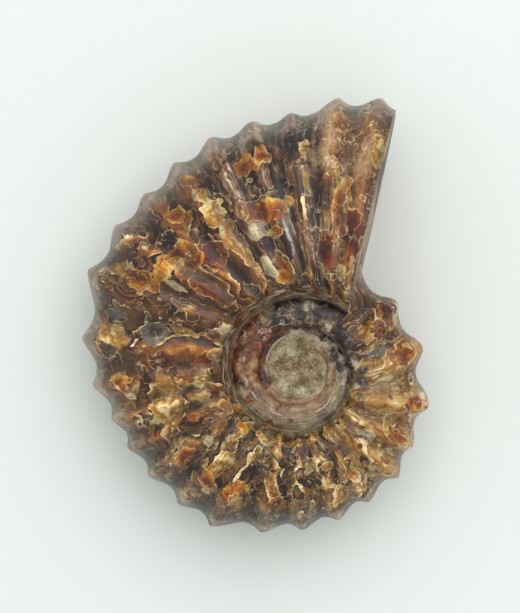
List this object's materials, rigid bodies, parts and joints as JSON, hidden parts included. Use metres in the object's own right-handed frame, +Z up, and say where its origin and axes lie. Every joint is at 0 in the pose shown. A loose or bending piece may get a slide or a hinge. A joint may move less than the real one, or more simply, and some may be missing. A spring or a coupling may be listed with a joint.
{
  "type": "ammonite fossil",
  "caption": "Polished fossil ammonite, a strongly ribbed flat coil with rows of low tubercles, an open umbilicus on both sides and a sawn flat mouth.",
  "frame": {"origin": "middle of the bounding box, on the surface that the fossil lies on", "axes": "+Z up out of the face of the coil; +Y along the coil's longest side, towards the sawn mouth's venter; +X to the side that the sawn mouth faces"},
  "size_m": [0.0478, 0.0598, 0.0264],
  "materials": {
    "polished_calcite": "polished calcite and aragonite, mottled amber, brown and cream under a clear gloss"
  },
  "bodies": {
    "root": {"ammonite": "polished_calcite"}
  },
  "joints": []
}
